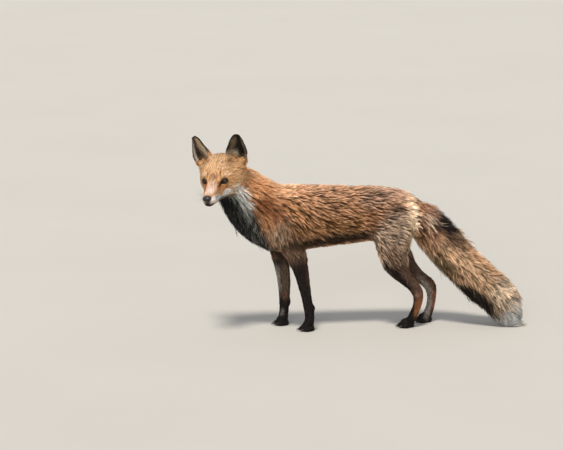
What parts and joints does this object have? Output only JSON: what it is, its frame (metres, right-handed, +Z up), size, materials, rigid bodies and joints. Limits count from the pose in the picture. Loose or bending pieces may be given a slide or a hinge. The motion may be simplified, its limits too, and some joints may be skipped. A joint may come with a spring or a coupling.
{
  "type": "red fox",
  "caption": "Life-size still model of a red fox, standing with its head turned to its left, ears up and its bushy tail hanging down behind.",
  "frame": {"origin": "middle of the animal's box, on the floor its paws stand on", "axes": "+X forwards along the trunk, +Y to the animal's left, +Z up"},
  "size_m": [0.88, 0.222, 0.5411],
  "materials": {
    "red_fur": "orange-red outer coat, satin sheen, slightly wavy locks",
    "grizzled_fur": "grey-tan coat flecked with dark tips",
    "tail_fur": "long buff coat with black-tipped hairs",
    "pale_fur": "long off-white hair",
    "dark_fur": "short black-brown hair, satin",
    "ear_fur": "short black hair behind, grey-tan hair inside",
    "eye": "glossy amber iris with a dark pupil, clear cornea",
    "nose": "black, moist, finely pebbled"
  },
  "bodies": {
    "root": {"ear_left": "ear_fur", "ear_right": "ear_fur", "eye_left": "eye", "eye_right": "eye", "forearm_left": "dark_fur", "forearm_right": "dark_fur", "forepaw_left": "dark_fur", "forepaw_right": "dark_fur", "head": "red_fur", "hindpaw_left": "dark_fur", "hindpaw_right": "dark_fur", "hock_left": "dark_fur", "hock_right": "dark_fur", "neck": "red_fur", "nose": "nose", "shank_left": "dark_fur", "shank_right": "dark_fur", "tail": "tail_fur", "tail_tip": "pale_fur", "thigh_left": "grizzled_fur", "thigh_right": "grizzled_fur", "trunk": "red_fur", "upper_arm_left": "grizzled_fur", "upper_arm_right": "grizzled_fur"}
  },
  "joints": []
}
